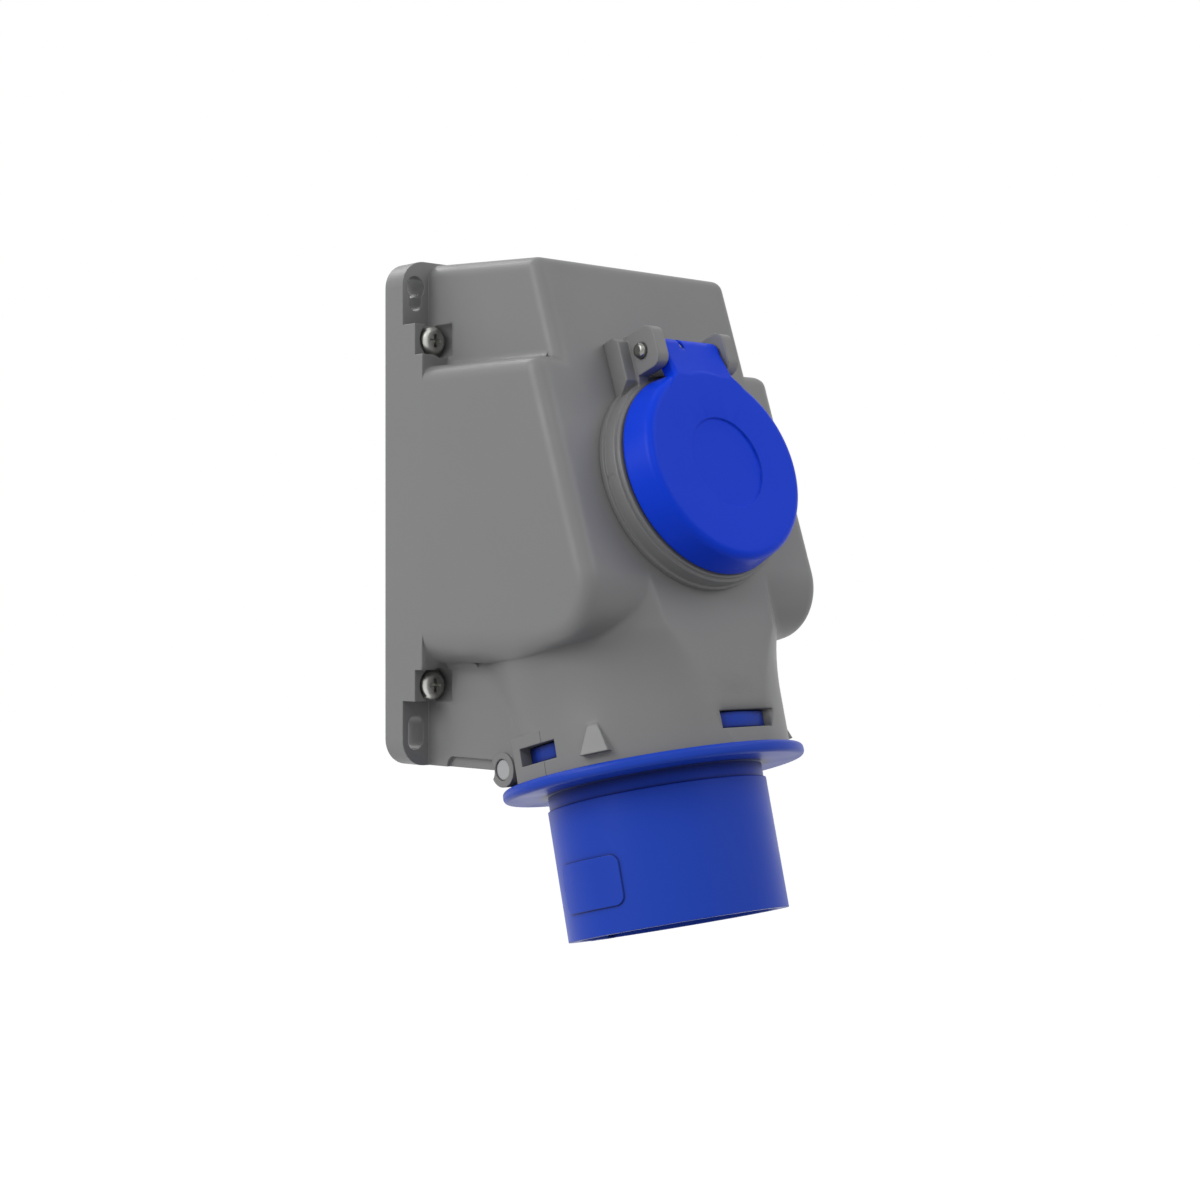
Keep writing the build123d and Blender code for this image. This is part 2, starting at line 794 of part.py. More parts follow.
with BuildPart() as pin_neutral:
    add(contact_pin(*pin_sets[1]))
pin_neutral.part.label = "pin_neutral"
export_step(pin_neutral.part, "parts/pin_neutral.step")

with BuildPart() as pin_earth:
    add(contact_pin(*pin_sets[2]))
pin_earth.part.label = "pin_earth"
export_step(pin_earth.part, "parts/pin_earth.step")

# Clamp screws of the three terminals
clamp_start = pin_circle_r + wire_r + pin_gap
with BuildPart() as terminal_screws:
    for base, radius, barrel in pin_sets:
        side_plane = radial_plane(base, clamp_screw_up - terminal_top)
        with BuildSketch(side_plane.offset(clamp_start)):
            Circle(clamp_screw_r)
        extrude(amount=clamp_screw_len)
        with BuildSketch(side_plane.offset(clamp_start + clamp_screw_len)):
            Rectangle(2 * clamp_screw_r, clamp_screw_r / 3)
        extrude(amount=-clamp_screw_r / 2, mode=Mode.SUBTRACT)
terminal_screws.part.label = "terminal_screws"
export_step(terminal_screws.part, "parts/terminal_screws.step")

# Socket body: well behind the lid with the contact block under its floor
well_out = well_r + well_t
floor_z = rim_h - well_depth
floor_back = floor_z - floor_t
block_back = floor_back - contact_block_len
plug_points = [(-contact_spacing / 2, 0), (contact_spacing / 2, 0)]
cover_screw_points = [(-cover_screw_x, cover_screw_y), (cover_screw_x, -cover_screw_y)]
socket_screw_points = [(-socket_screw_x, 0), (socket_screw_x, 0)]
ear_back = -wall_t - mount_ear_t
with BuildPart() as socket_body:
    with BuildSketch(socket_plane.offset(floor_back)):
        Circle(well_out)
    extrude(amount=rim_h - floor_back)
    with BuildSketch(socket_plane.offset(ear_back)):
        RectangleRounded(mount_ear_w, mount_ear_h, mount_ear_t)
    extrude(amount=mount_ear_t)
    with BuildSketch(socket_plane.offset(block_back)):
        Circle(contact_block_r)
    extrude(amount=contact_block_len)
    with BuildSketch(socket_plane.offset(floor_z)):
        Circle(well_r)
    extrude(amount=well_depth, mode=Mode.SUBTRACT)
    with BuildSketch(socket_plane.offset(floor_back)):
        with Locations(*plug_points):
            Circle(plug_hole_r)
        with Locations((0, -clip_y), (0, clip_y)):
            Rectangle(clip_w + 2 * clip_gap, clip_t + 2 * clip_gap)
    extrude(amount=floor_t, mode=Mode.SUBTRACT)
    with BuildSketch(socket_plane.offset(block_back)):
        with Locations(*plug_points):
            Circle(chamber_r)
    extrude(amount=contact_block_len, mode=Mode.SUBTRACT)
    with BuildSketch(socket_plane.offset(block_back)):
        Rectangle(clip_w + 2 * clip_gap, 2 * contact_block_r + 2)
    extrude(amount=clip_t + clip_gap, mode=Mode.SUBTRACT)
    with BuildSketch(socket_plane.offset(block_back)):
        with Locations(*cover_screw_points):
            Circle(cover_screw_r + small_gap)
    extrude(amount=cover_screw_len - cover_t + small_gap, mode=Mode.SUBTRACT)
    with BuildSketch(socket_plane.offset(ear_back)):
        with Locations(*socket_screw_points):
            Circle(socket_screw_r + small_gap)
    extrude(amount=mount_ear_t, mode=Mode.SUBTRACT)
socket_body.part.label = "socket_body"
export_step(socket_body.part, "parts/socket_body.step")


def socket_contact(x):
    """Slit contact sleeve with a wire barrel behind it."""
    with BuildPart() as contact:
        with BuildSketch(socket_plane.offset(block_back)):
            with Locations((x, 0)):
                Circle(sleeve_r)
        extrude(amount=contact_block_len - small_gap)
        with BuildSketch(socket_plane.offset(block_back + contact_end_t)):
            with Locations((x, 0)):
                Circle(sleeve_bore_r)
                Rectangle(sleeve_slit, 2 * sleeve_r + 1)
        extrude(amount=contact_block_len, mode=Mode.SUBTRACT)
        with BuildSketch(socket_plane.offset(block_back)):
            with Locations((x, 0)):
                Circle(barrel_r)
        extrude(amount=-barrel_len)
        with BuildSketch(socket_plane.offset(block_back - barrel_len)):
            with Locations((x, 0)):
                Circle(wire_hole_r)
        extrude(amount=wire_seat + small_gap, mode=Mode.SUBTRACT)
    return contact.part


with BuildPart() as contact_line:
    add(socket_contact(-contact_spacing / 2))
contact_line.part.label = "contact_line"
export_step(contact_line.part, "parts/contact_line.step")

with BuildPart() as contact_neutral:
    add(socket_contact(contact_spacing / 2))
contact_neutral.part.label = "contact_neutral"
export_step(contact_neutral.part, "parts/contact_neutral.step")

# Earth strip: bent round the contact block, with a bowed spring at each end in the well
clip_tip = rim_h - clip_tip_in
clip_knee = rim_h - clip_bow_in
clip_base = block_back + clip_t / 2
crimp_y = -clip_y - crimp_r
with BuildPart() as earth_contact:
    with BuildSketch(socket_side):
        with BuildLine():
            Polyline(
                (clip_y, clip_tip),
                (clip_y - clip_bow, clip_knee),
                (clip_y, floor_z),
                (clip_y, clip_base),
                (-clip_y, clip_base),
                (-clip_y, floor_z),
                (clip_bow - clip_y, clip_knee),
                (-clip_y, clip_tip),
            )
        trace(line_width=clip_t)
    extrude(amount=clip_w / 2, both=True)
    with BuildSketch(socket_plane.offset(block_back)):
        with Locations((0, crimp_y)):
            Circle(crimp_r)
    extrude(amount=crimp_len)
    with BuildSketch(socket_plane.offset(block_back)):
        with Locations((0, crimp_y)):
            Circle(wire_hole_r)
    extrude(amount=wire_seat + small_gap, mode=Mode.SUBTRACT)
earth_contact.part.label = "earth_contact"
export_step(earth_contact.part, "parts/earth_contact.step")

# Cover behind the contact block and its two screws
with BuildPart() as socket_cover:
    with BuildSketch(socket_plane.offset(block_back)):
        Circle(contact_block_r)
        with Locations(*plug_points):
            Circle(barrel_r + barrel_gap, mode=Mode.SUBTRACT)
        with Locations(*cover_screw_points):
            Circle(cover_screw_r + small_gap, mode=Mode.SUBTRACT)
    extrude(amount=-cover_t)
socket_cover.part.label = "socket_cover"
export_step(socket_cover.part, "parts/socket_cover.step")

with BuildPart() as cover_screws:
    with BuildSketch(socket_plane.offset(block_back - cover_t)):
        with Locations(*cover_screw_points):
            Circle(small_head_r)
    extrude(amount=-small_head_t)
    with BuildSketch(socket_plane.offset(block_back - cover_t)):
        with Locations(*cover_screw_points):
            Circle(cover_screw_r)
    extrude(amount=cover_screw_len)
cover_screws.part.label = "cover_screws"
export_step(cover_screws.part, "parts/cover_screws.step")

# Screws from inside that clamp the socket and the lid frame on the sloping face
with BuildPart() as socket_screws:
    with BuildSketch(socket_plane.offset(ear_back)):
        with Locations(*socket_screw_points):
            Circle(small_head_r)
    extrude(amount=-small_head_t)
    with BuildSketch(socket_plane.offset(ear_back)):
        with Locations(*socket_screw_points):
            Circle(socket_screw_r)
    extrude(amount=socket_screw_len)
socket_screws.part.label = "socket_screws"
export_step(socket_screws.part, "parts/socket_screws.step")

# Lid frame: stepped ring with two hinge ears and the saddle between them
hinge_spot = (hinge_y, hinge_h)
ear_out = ear_in + ear_w
with BuildPart() as lid_frame:
    with BuildSketch(socket_section):
        with BuildLine():
            Polyline(
                (hole_r, 0),
                (frame_foot_r, 0),
                (frame_foot_r, frame_foot_h),
                (frame_r, frame_foot_h),
                (frame_r, frame_step_h),
                (frame_step_r, frame_step_h),
                (frame_step_r, rim_h),
                (hole_r, rim_h),
                close=True,
            )
        make_face()
    revolve(axis=socket_axis)
    for side in (-1, 1):
        with BuildSketch(socket_side.offset(side * ear_in)):
            with BuildLine():
                Polyline(
                    (ear_foot, 0),
                    (hinge_y + ear_r, 0),
                    (hinge_y + ear_r, hinge_h),
                    (hinge_y - ear_r, hinge_h),
                    (hinge_y - ear_r, rim_h),
                    (ear_foot, frame_step_h),
                    close=True,
                )
            make_face()
            with Locations(hinge_spot):
                RectangleRounded(2 * ear_r, 2 * ear_r, ear_corner_r)
        extrude(amount=side * ear_w)
        # lower block beside each ear, under the end of the hinge pin
        with BuildSketch(socket_side.offset(side * ear_out)):
            with BuildLine():
                Polyline(
                    (ear_foot, 0),
                    (hinge_y + ear_r, 0),
                    (hinge_y + ear_r, ear_foot_h - ear_corner_r / 2),
                    (hinge_y + ear_r - ear_corner_r / 2, ear_foot_h),
                    (ear_foot + ear_foot_w, ear_foot_h),
                    (ear_foot, frame_foot_h),
                    close=True,
                )
            make_face()
        extrude(amount=side * ear_foot_w)
    with BuildSketch(socket_plane):
        with Locations((0, (ear_foot + hinge_y + ear_r) / 2)):
            Rectangle(2 * ear_out, hinge_y + ear_r - ear_foot)
    extrude(amount=saddle_t)
    with BuildSketch(socket_plane):
        Circle(hole_r)
    extrude(amount=hinge_h + ear_r, mode=Mode.SUBTRACT)
    with BuildSketch(socket_side):
        with Locations(hinge_spot):
            Circle(pin_d / 2 + hinge_gap)
    extrude(amount=ear_out, both=True, mode=Mode.SUBTRACT)
    with BuildSketch(socket_plane):
        with Locations(*socket_screw_points):
            Circle(socket_screw_r + small_gap)
    extrude(amount=socket_screw_len + ear_back + small_gap, mode=Mode.SUBTRACT)
lid_frame.part.label = "lid_frame"
export_step(lid_frame.part, "parts/lid_frame.step")

# Hinge pin
pin_half = ear_out + pin_proud
with BuildPart() as hinge_pin:
    with BuildSketch(socket_side):
        with Locations(hinge_spot):
            Circle(pin_d / 2)
    extrude(amount=pin_half, both=True)
    fillet(hinge_pin.edges().filter_by(lambda e: abs(e.center().X) > pin_half - 0.1), pin_dome_r)
hinge_pin.part.label = "hinge_pin"
export_step(hinge_pin.part, "parts/hinge_pin.step")

# Hinged lid: dished cap, arm and two knuckles
lid_back = rim_h + lid_gap
lid_front = lid_back + lid_h
arm_bend = lid_front_r - lid_edge_r
arm_run = (arm_top - arm_bend) / math.cos(math.radians(arm_tilt))
arm_plane = Plane(socket_plane.location * Location((0, arm_bend, lid_front)) * Rotation(-arm_tilt, 0, 0))
with BuildPart() as lid_arm:
    # the arm leans back from the flat of the cap towards the hinge
    with BuildSketch(arm_plane) as arm:
        with BuildLine():
            Polyline(
                (-arm_root_w / 2 - arm_neck_r, -arm_neck_r),
                (-arm_root_w / 2, arm_neck_r / 3),
                (-arm_top_w / 2, arm_run),
                (arm_top_w / 2, arm_run),
                (arm_root_w / 2, arm_neck_r / 3),
                (arm_root_w / 2 + arm_neck_r, -arm_neck_r),
                close=True,
            )
        make_face()
        fillet(arm.vertices().filter_by(lambda v: abs(v.Y - arm_neck_r / 3) < 0.01), arm_neck_r)
    extrude(amount=-arm_t)
    fillet(lid_arm.edges().filter_by(lambda e: abs(arm_plane.to_local_coords(e @ 0.5).Z) < 0.01), arm_edge_r)
    with BuildSketch(socket_plane.offset(lid_front)):
        Rectangle(2 * lid_r, 2 * lid_r)
    extrude(amount=arm_t, mode=Mode.SUBTRACT)
with BuildPart() as lid:
    with BuildSketch(socket_section) as cap:
        with BuildLine():
            Polyline(
                (0, lid_back),
                (lid_r, lid_back),
                (lid_front_r, lid_front),
                (0, lid_front),
                close=True,
            )
        make_face()
        fillet(cap.vertices().sort_by_distance((lid_front_r, lid_front, 0))[0], lid_edge_r)
    revolve(axis=socket_axis)
    add(lid_arm.part)
    with BuildSketch(socket_side):
        with Locations(hinge_spot):
            Circle(knuckle_r)
        with BuildLine():
            Polyline(
                (hinge_y - knuckle_r, hinge_h),
                (hinge_y + knuckle_r, hinge_h),
                (hinge_y + knuckle_r / 2, hinge_h + knuckle_r / 2),
                (hinge_y - knuckle_r, hinge_h + knuckle_r),
                close=True,
            )
        make_face()
    extrude(amount=knuckle_w / 2, both=True)
    with BuildSketch(socket_side):
        with Locations(hinge_spot):
            Circle(spring_room_r)
        with Locations((hinge_y, hinge_h - knuckle_r / 2)):
            Rectangle(2 * knuckle_r, knuckle_r + 1)
    extrude(amount=spring_room / 2, both=True, mode=Mode.SUBTRACT)
    with BuildSketch(socket_side):
        with Locations(hinge_spot):
            Circle(pin_d / 2 + hinge_gap)
    extrude(amount=knuckle_w, both=True, mode=Mode.SUBTRACT)
    with BuildSketch(socket_plane.offset(lid_back)):
        Circle(lid_hollow_r)
    extrude(amount=lid_h - lid_wall, mode=Mode.SUBTRACT)
    with BuildSketch(socket_plane.offset(lid_back)):
        Circle(lid_seal_r)
    extrude(amount=lid_seal_t - lid_seal_proud, mode=Mode.SUBTRACT)
    with BuildSketch(socket_plane.offset(lid_front)):
        Circle(lid_disc_r)
    extrude(amount=-lid_disc_depth, mode=Mode.SUBTRACT)
lid.part.label = "lid"
export_step(lid.part, "parts/lid.step")

# Seal in the lid, closing on the rim of the well
with BuildPart() as lid_seal:
    with BuildSketch(socket_plane.offset(lid_back - lid_seal_proud)):
        Circle(lid_seal_r - lid_seal_gap)
        Circle(lid_seal_r - lid_seal_gap - lid_seal_w, mode=Mode.SUBTRACT)
    extrude(amount=lid_seal_t)
lid_seal.part.label = "lid_seal"
export_step(lid_seal.part, "parts/lid_seal.step")

# Torsion spring between the knuckles: one leg on the saddle, one under the arm
coil_len = spring_turns * spring_pitch
coil_start = socket_side.from_local_coords((hinge_y, hinge_h, -coil_len / 2))
with BuildPart() as lid_spring:
    with BuildLine():
        coil = Helix(spring_pitch, coil_len, spring_coil_r, center=coil_start, direction=(1, 0, 0))
    with BuildSketch(Plane(origin=coil @ 0, z_dir=coil % 0)):
        Circle(spring_wire_r)
    sweep(path=coil, is_frenet=True)
    with BuildSketch(Plane(origin=coil @ 0, z_dir=-(coil % 0))):
        Circle(spring_wire_r)
    extrude(amount=spring_leg)
    with BuildSketch(Plane(origin=coil @ 1, z_dir=coil % 1)):
        Circle(spring_wire_r)
    extrude(amount=spring_hook)
lid_spring.part.label = "lid_spring"
export_step(lid_spring.part, "parts/lid_spring.step")


def lead(points):
    """Insulated inner lead along straight runs with wide bends."""
    bends = []
    for before, corner, after in zip(points, points[1:], points[2:]):
        turn = (corner - before).get_angle(after - corner)
        run = min((corner - before).length, (after - corner).length)
        bends.append(wire_bend * run / math.tan(math.radians(turn / 2)))
    print("lead bends", [round(bend, 1) for bend in bends])
    with BuildPart() as wire:
        with BuildLine() as path:
            FilletPolyline(*points, radius=bends)
        with BuildSketch(Plane(origin=points[0], z_dir=points[1] - points[0])):
            Circle(wire_r)
        sweep(path=path.line)
    return wire.part


def terminal_point(base, out):
    """Point on a pin's axis, out from the flange seat."""
    return base.from_local_coords(Vector(0, pin_circle_r, out))


def side_route(base, x):
    """Route from a pin's terminal to the socket contact at x."""
    behind = socket_plane.from_local_coords(Vector(x, 0, block_back - barrel_len - wire_back))
    return [
        terminal_point(base, wire_seat - terminal_top),
        terminal_point(base, -terminal_top - wire_rise),
        behind - Vector(0, wire_slant, wire_drop),
        behind,
        socket_plane.from_local_coords(Vector(x, 0, block_back - barrel_len + wire_seat)),
    ]


with BuildPart() as lead_line:
    add(lead(side_route(line_plane, -contact_spacing / 2)))
lead_line.part.label = "lead_line"
export_step(lead_line.part, "parts/lead_line.step")

with BuildPart() as lead_neutral:
    add(lead(side_route(neutral_plane, contact_spacing / 2)))
lead_neutral.part.label = "lead_neutral"
export_step(lead_neutral.part, "parts/lead_neutral.step")

# The earth lead turns once, where the line of its terminal meets the line of the crimp
crimp_end = socket_plane.from_local_coords(Vector(0, crimp_y, block_back + wire_seat))
earth_end = terminal_point(earth_plane, wire_seat - terminal_top)
up = Vector(0, sin_inlet, cos_inlet)
back = Vector(0, cos_face, -sin_face)
across = crimp_end - earth_end
earth_rise = (across.Y * back.Z - across.Z * back.Y) / (up.Y * back.Z - up.Z * back.Y)
with BuildPart() as lead_earth:
    add(lead([earth_end, earth_end + up * earth_rise, crimp_end]))
lead_earth.part.label = "lead_earth"
export_step(lead_earth.part, "parts/lead_earth.step")
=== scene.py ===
"""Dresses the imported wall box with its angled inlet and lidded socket, and lights it in a white studio."""
import json
import logging
import math
from dataclasses import dataclass, field
from enum import Enum

import bpy
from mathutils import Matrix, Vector


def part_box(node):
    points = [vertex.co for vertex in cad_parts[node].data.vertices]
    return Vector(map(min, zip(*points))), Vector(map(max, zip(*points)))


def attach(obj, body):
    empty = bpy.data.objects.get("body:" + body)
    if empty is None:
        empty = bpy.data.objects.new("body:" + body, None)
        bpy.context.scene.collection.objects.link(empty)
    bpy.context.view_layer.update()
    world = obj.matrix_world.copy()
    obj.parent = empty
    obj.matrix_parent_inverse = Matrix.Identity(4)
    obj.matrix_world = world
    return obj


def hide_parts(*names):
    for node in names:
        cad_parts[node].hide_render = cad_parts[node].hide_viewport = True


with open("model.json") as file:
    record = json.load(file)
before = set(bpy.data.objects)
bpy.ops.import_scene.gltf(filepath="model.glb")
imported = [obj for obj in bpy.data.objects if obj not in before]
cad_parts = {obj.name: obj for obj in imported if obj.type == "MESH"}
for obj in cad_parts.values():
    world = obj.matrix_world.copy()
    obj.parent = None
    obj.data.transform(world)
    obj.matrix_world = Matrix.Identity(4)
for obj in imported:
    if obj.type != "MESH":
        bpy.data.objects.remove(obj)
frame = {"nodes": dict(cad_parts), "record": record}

log = logging.getLogger("inlet")

MM = 0.001


class Lay(Enum):
    """How the marks of a metal surface run."""

    TURNED = "turned"
    DRAWN = "drawn"


def linear(hex_colour: str) -> tuple[float, float, float, float]:
    """Turns an sRGB hex colour into the linear values that the shader takes.

    Args:
        hex_colour: Colour such as "#8a8a8a".

    Returns:
        Red, green, blue and full alpha, linear.
    """
    values = [int(hex_colour[i : i + 2], 16) / 255 for i in (1, 3, 5)]
    red, green, blue = (v / 12.92 if v <= 0.04045 else ((v + 0.055) / 1.055) ** 2.4 for v in values)
    return (red, green, blue, 1.0)


def add_node(
    tree: bpy.types.NodeTree,
    kind: str,
    settings: dict[str, object] | None = None,
    sockets: dict[str | int, object] | None = None,
    links: dict[str | int, bpy.types.NodeSocket] | None = None,
) -> bpy.types.Node:
    """Adds one node with its settings, socket values and incoming links.

    Args:
        tree: Node tree of the material or world.
        kind: Blender's name of the node type.
        settings: Attributes of the node itself.
        sockets: Values for unlinked inputs.
        links: Output sockets to link into inputs.

    Returns:
        The new node.
    """
    node = tree.nodes.new(kind)
    for name, value in (settings or {}).items():
        setattr(node, name, value)
    for name, value in (sockets or {}).items():
        node.inputs[name].default_value = value
    for name, output in (links or {}).items():
        tree.links.new(output, node.inputs[name])
    return node


def new_material(name: str) -> tuple[bpy.types.Material, bpy.types.NodeTree, bpy.types.NodeSocket]:
    """Makes an empty material and the Object coordinates that its patterns read.

    Args:
        name: Material name.

    Returns:
        The material, its node tree and the Object coordinate socket.
    """
    material = bpy.data.materials.new(name)
    material.use_nodes = True
    tree = material.node_tree
    tree.nodes.clear()
    coordinates = add_node(tree, "ShaderNodeTexCoord")
    return material, tree, coordinates.outputs["Object"]


@dataclass(frozen=True)
class MouldedPlastic:
    """Injection-moulded plastic: a spark-eroded tool leaves an even fine grain that softens the gloss."""

    name: str
    colour: str
    shade: str
    roughness: float
    grain_mm: float
    grain_depth_mm: float
    gloss_level: float = 0.3
    sheen_spread: float = 0.06
    flow_mm: float = 22.0
    edge_mm: float = 0.5

    def edge_radius(
        self, tree: bpy.types.NodeTree, place: bpy.types.NodeSocket
    ) -> bpy.types.NodeSocket | None:
        """Gives a radius that changes over the piece, or None where edge_mm holds all over."""
        return None

    def body_colour(self, tree: bpy.types.NodeTree, colour: bpy.types.NodeSocket) -> bpy.types.NodeSocket:
        """Gives the colour as it is, for a piece without painted shade in its recesses."""
        return colour

    def build(self) -> bpy.types.Material:
        """Builds the material: flow marks a few centimetres long, and the tool's grain as bump.

        Returns:
            The finished material.
        """
        material, tree, place = new_material(self.name)
        flow = add_node(
            tree,
            "ShaderNodeTexNoise",
            sockets={"Scale": 1 / (self.flow_mm * MM), "Detail": 3.0, "Roughness": 0.5, "Distortion": 0.4},
            links={"Vector": place},
        )
        colour = add_node(
            tree,
            "ShaderNodeMix",
            settings={"data_type": "RGBA"},
            sockets={"A": linear(self.colour), "B": linear(self.shade)},
            links={"Factor": flow.outputs["Fac"]},
        )
        gloss = add_node(
            tree,
            "ShaderNodeMapRange",
            sockets={
                "From Min": 0.3,
                "From Max": 0.7,
                "To Min": self.roughness - self.sheen_spread,
                "To Max": self.roughness + self.sheen_spread,
            },
            links={"Value": flow.outputs["Fac"]},
        )
        grain = add_node(
            tree,
            "ShaderNodeTexNoise",
            sockets={"Scale": 1 / (self.grain_mm * MM), "Detail": 2.0, "Roughness": 0.6},
            links={"Vector": place},
        )
        radius = self.edge_radius(tree, place)
        rounding = add_node(
            tree,
            "ShaderNodeBevel",
            settings={"samples": 8},
            sockets={"Radius": self.edge_mm * MM},
            links={"Radius": radius} if radius else None,
        )
        bump = add_node(
            tree,
            "ShaderNodeBump",
            sockets={"Strength": 0.35, "Distance": self.grain_depth_mm * MM},
            links={"Height": grain.outputs["Fac"], "Normal": rounding.outputs["Normal"]},
        )
        shader = add_node(
            tree,
            "ShaderNodeBsdfPrincipled",
            sockets={"IOR": 1.5, "Specular IOR Level": self.gloss_level},
            links={
                "Base Color": self.body_colour(tree, colour.outputs["Result"]),
                "Roughness": gloss.outputs["Result"],
                "Normal": bump.outputs["Normal"],
            },
        )
        add_node(tree, "ShaderNodeOutputMaterial", links={"Surface": shader.outputs["BSDF"]})
        return material


@dataclass(frozen=True)
class RecessShadePlastic(MouldedPlastic):
    """Moulded plastic with painted shade: its narrow recesses are coloured darker, where shade would fall."""

    recess_mm: float = 3.0
    # Colour of the painted shade that the narrow recesses take
    painted_shade_colour: str = "#10236a"
    shut_at: float = 0.6
    open_at: float = 0.96

    def body_colour(self, tree: bpy.types.NodeTree, colour: bpy.types.NodeSocket) -> bpy.types.NodeSocket:
        """Paints shade: darkens the colour where other faces stand close by.

        Args:
            tree: Node tree of the material.
            colour: Colour of the open faces.

        Returns:
            The colour with painted shade in its recesses.
        """
        # Painted shade: ambient occlusion turns the colour towards the dark recess colour in narrow recesses
        open_air = add_node(
            tree,
            "ShaderNodeAmbientOcclusion",
            settings={"samples": 8},
            sockets={"Distance": self.recess_mm * MM},
        )
        openness = add_node(
            tree,
            "ShaderNodeMapRange",
            sockets={"From Min": self.shut_at, "From Max": self.open_at},
            links={"Value": open_air.outputs["AO"]},
        )
        mix = add_node(
            tree,
            "ShaderNodeMix",
            settings={"data_type": "RGBA"},
            sockets={"A": linear(self.painted_shade_colour)},
            links={"Factor": openness.outputs["Result"], "B": colour},
        )
        return mix.outputs["Result"]


@dataclass(frozen=True)
class BlendedPlastic(MouldedPlastic):
    """The housing's plastic: where the sloping face runs into the neck, the tool is blended by hand."""

    body_mm: float = 1.9
    blend_mm: float = 7.0
    blend_top_mm: float = -24.0
    blend_low_mm: float = -47.0
    fade_mm: float = 9.0
    rim_front_mm: float = -13.0
    rim_fade_mm: float = 4.0

    def edge_radius(
        self, tree: bpy.types.NodeTree, place: bpy.types.NodeSocket
    ) -> bpy.types.NodeSocket | None:
        """Keeps the rim and the windows crisp, rounds the body, and runs the face softly into the neck.

        Args:
            tree: Node tree of the material.
            place: Object coordinates.

        Returns:
            The radius in metres.
        """
        axes = add_node(tree, "ShaderNodeSeparateXYZ", links={"Vector": place})
        below_top = add_node(
            tree,
            "ShaderNodeMapRange",
            sockets={
                "From Min": self.blend_top_mm * MM,
                "From Max": (self.blend_top_mm - self.fade_mm) * MM,
                "To Min": self.body_mm * MM,
                "To Max": self.blend_mm * MM,
            },
            links={"Value": axes.outputs["Z"]},
        )
        above_low = add_node(
            tree,
            "ShaderNodeMapRange",
            sockets={"From Min": self.blend_low_mm * MM, "From Max": (self.blend_low_mm + self.fade_mm) * MM},
            links={"Value": axes.outputs["Z"]},
        )
        before_rim = add_node(
            tree,
            "ShaderNodeMapRange",
            sockets={
                "From Min": self.rim_front_mm * MM,
                "From Max": (self.rim_front_mm - self.rim_fade_mm) * MM,
            },
            links={"Value": axes.outputs["Y"]},
        )
        within = add_node(
            tree,
            "ShaderNodeMath",
            settings={"operation": "MULTIPLY"},
            links={0: before_rim.outputs["Result"], 1: above_low.outputs["Result"]},
        )
        radius = add_node(
            tree,
            "ShaderNodeMapRange",
            sockets={"To Min": self.edge_mm * MM},
            links={"Value": within.outputs["Value"], "To Max": below_top.outputs["Result"]},
        )
        return radius.outputs["Result"]


@dataclass(frozen=True)
class WorkedMetal:
    """Plated or bare metal with the fine marks of its making."""

    name: str
    colour: str
    shade: str
    roughness: float
    mark_mm: float
    mark_depth_mm: float
    lay: Lay

    def build(self) -> bpy.types.Material:
        """Builds the material: marks drawn out along the work, and a slow change of tint.

        Returns:
            The finished material.
        """
        material, tree, place = new_material(self.name)
        stretch = (1.0, 1.0, 0.12) if self.lay is Lay.DRAWN else (0.15, 1.0, 1.0)
        mapping = add_node(tree, "ShaderNodeMapping", sockets={"Scale": stretch}, links={"Vector": place})
        marks = add_node(
            tree,
            "ShaderNodeTexNoise",
            sockets={"Scale": 1 / (self.mark_mm * MM), "Detail": 3.0, "Roughness": 0.55},
            links={"Vector": mapping.outputs["Vector"]},
        )
        tint = add_node(
            tree,
            "ShaderNodeTexNoise",
            sockets={"Scale": 1 / (6 * self.mark_mm * MM), "Detail": 2.0},
            links={"Vector": place},
        )
        colour = add_node(
            tree,
            "ShaderNodeMix",
            settings={"data_type": "RGBA"},
            sockets={"A": linear(self.colour), "B": linear(self.shade)},
            links={"Factor": tint.outputs["Fac"]},
        )
        gloss = add_node(
            tree,
            "ShaderNodeMapRange",
            sockets={"To Min": self.roughness * 0.75, "To Max": self.roughness * 1.3},
            links={"Value": marks.outputs["Fac"]},
        )
        bump = add_node(
            tree,
            "ShaderNodeBump",
            sockets={"Strength": 0.3, "Distance": self.mark_depth_mm * MM},
            links={"Height": marks.outputs["Fac"]},
        )
        shader = add_node(
            tree,
            "ShaderNodeBsdfPrincipled",
            sockets={"Metallic": 1.0},
            links={
                "Base Color": colour.outputs["Result"],
                "Roughness": gloss.outputs["Result"],
                "Normal": bump.outputs["Normal"],
            },
        )
        add_node(tree, "ShaderNodeOutputMaterial", links={"Surface": shader.outputs["BSDF"]})
        return material


@dataclass(frozen=True)
class StripedSleeve:
    """Extruded PVC sleeve of the earth lead: green, with a yellow stripe along one side."""

    name: str
    ground: str
    stripe: str
    stripe_mm: float

    def build(self) -> bpy.types.Material:
        """Builds the material from the side of the lead that a point lies on.

        Returns:
            The finished material.
        """
        material, tree, place = new_material(self.name)
        axes = add_node(tree, "ShaderNodeSeparateXYZ", links={"Vector": place})
        side = add_node(
            tree,
            "ShaderNodeMath",
            settings={"operation": "GREATER_THAN"},
            sockets={1: self.stripe_mm * MM},
            links={0: axes.outputs["X"]},
        )
        colour = add_node(
            tree,
            "ShaderNodeMix",
            settings={"data_type": "RGBA"},
            sockets={"A": linear(self.ground), "B": linear(self.stripe)},
            links={"Factor": side.outputs["Value"]},
        )
        shader = add_node(
            tree,
            "ShaderNodeBsdfPrincipled",
            sockets={"Roughness": 0.38, "IOR": 1.53},
            links={"Base Color": colour.outputs["Result"]},
        )
        add_node(tree, "ShaderNodeOutputMaterial", links={"Surface": shader.outputs["BSDF"]})
        return material


